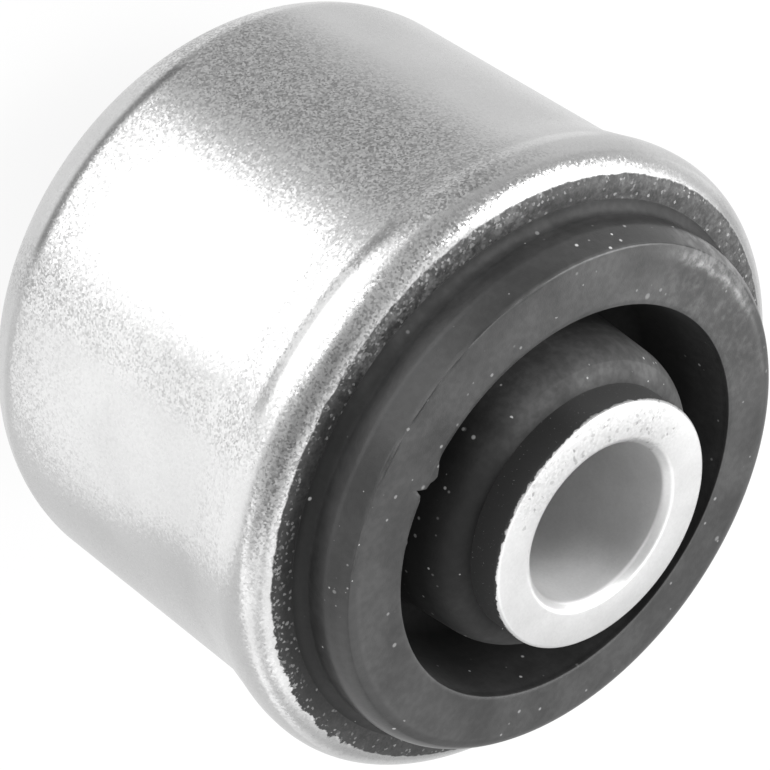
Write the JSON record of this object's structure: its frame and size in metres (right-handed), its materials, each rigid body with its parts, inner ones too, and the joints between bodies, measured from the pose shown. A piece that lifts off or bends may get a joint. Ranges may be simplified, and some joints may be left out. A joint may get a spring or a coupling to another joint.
{
  "type": "rubber metal bush",
  "caption": "Bonded suspension bush: a steel outer sleeve with a rounded collar, a rubber body with a standing bumper ring and annular recess, and a steel inner sleeve for a bolt.",
  "frame": {"origin": "centre of the rear end face of the inner sleeve, on the bore's axis", "axes": "+Z along the bore's axis from the rear end towards the bumper; +X and +Y are any two radii"},
  "size_m": [0.048, 0.048, 0.05],
  "materials": {
    "tube_steel": "machined, faintly mottled",
    "sleeve_steel": "satin plated, fine grain",
    "black_rubber": "matt moulded"
  },
  "bodies": {
    "root": {"inner_sleeve": "tube_steel", "outer_sleeve": "sleeve_steel", "rubber_body": "black_rubber"}
  },
  "joints": []
}
